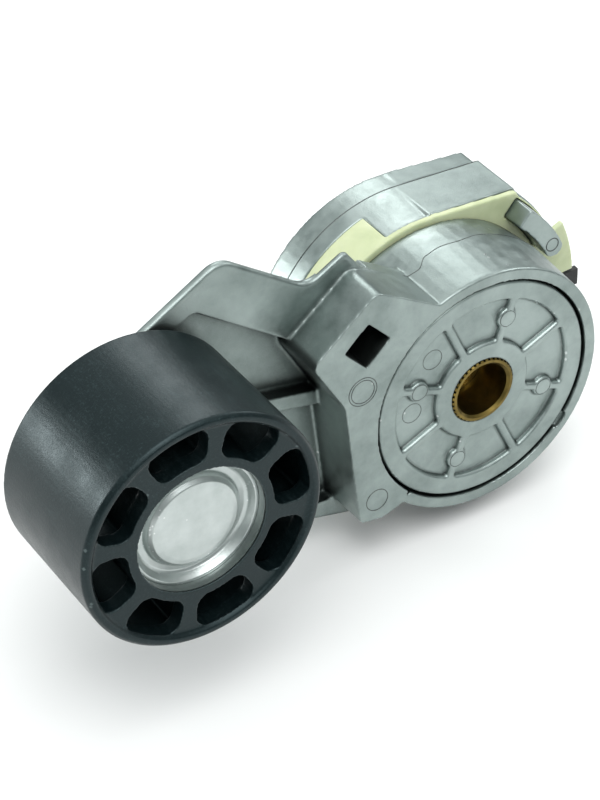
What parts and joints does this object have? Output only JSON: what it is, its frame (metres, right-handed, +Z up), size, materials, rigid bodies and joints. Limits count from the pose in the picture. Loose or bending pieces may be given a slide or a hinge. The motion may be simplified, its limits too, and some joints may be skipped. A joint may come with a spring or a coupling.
{
  "type": "belt tensioner idler",
  "caption": "Spring-loaded belt tensioner: a round cast base and pivot barrel with a swinging cast arm that carries a smooth, wide idler pulley.",
  "frame": {"origin": "centre of the mounting bore on the rear mounting face", "axes": "+Y along the pivot axis into the engine, +Z up, the arm reaches towards -X and the pulley stands forward towards -Y"},
  "size_m": [0.247, 0.1135, 0.1356],
  "materials": {
    "cast_aluminium": "die cast, shot blasted",
    "machined_steel": "turned steel",
    "yellow_zinc": "yellow zinc plated steel",
    "bronze": "dark bronze",
    "black_rubber": "moulded rubber",
    "natural_nylon": "moulded natural nylon",
    "cage_nylon": "moulded glass filled nylon",
    "spring_steel": "phosphated spring steel",
    "bearing_steel": "ground steel",
    "zinc_sheet": "pressed zinc plated sheet",
    "black_pulley": "moulded black, turned running face"
  },
  "bodies": {
    "base": {"base_housing": "cast_aluminium", "locating_pin": "machined_steel", "stop_bumper": "black_rubber", "damper_ring": "natural_nylon", "torsion_spring": "spring_steel", "spring_seat": "natural_nylon", "pivot_tube": "yellow_zinc", "centre_bushing": "bronze", "thrust_washer": "bronze", "dust_seal": "black_rubber", "front_cover": "cast_aluminium"},
    "arm": {"tensioner_arm": "cast_aluminium", "front_pivot_bushing": "bronze", "rear_pivot_bushing": "bronze", "bearing_spacer": "machined_steel", "bearing_inner_ring": "bearing_steel", "clamp_washer": "machined_steel", "pulley_bolt": "machined_steel"},
    "cage": {"bearing_cage": "cage_nylon", "bearing_balls": "bearing_steel"},
    "pulley": {"idler_pulley": "black_pulley", "pulley_insert": "machined_steel", "bearing_outer_ring": "bearing_steel", "front_bearing_seal": "black_rubber", "rear_bearing_seal": "black_rubber", "retaining_ring": "spring_steel", "dust_cap": "zinc_sheet"}
  },
  "joints": [
    {"name": "arm_swing", "type": "hinge", "parent": "base", "child": "arm", "pos_m": [0, 0, 0], "axis": [0, 1, 0], "range_deg": [0, 50], "stiffness_Nm_per_rad": 20, "springref_deg": -28.65},
    {"name": "pulley_spin", "type": "hinge", "parent": "arm", "child": "pulley", "pos_m": [-0.1352, 0, 0.0239], "axis": [0, 1, 0], "continuous": true},
    {"name": "cage_spin", "type": "hinge", "parent": "arm", "child": "cage", "pos_m": [-0.1352, 0, 0.0239], "axis": [0, 1, 0], "continuous": true}
  ],
  "couplings": [
    {"joint": "cage_spin", "follows": "pulley_spin", "ratio": 0.6045}
  ]
}
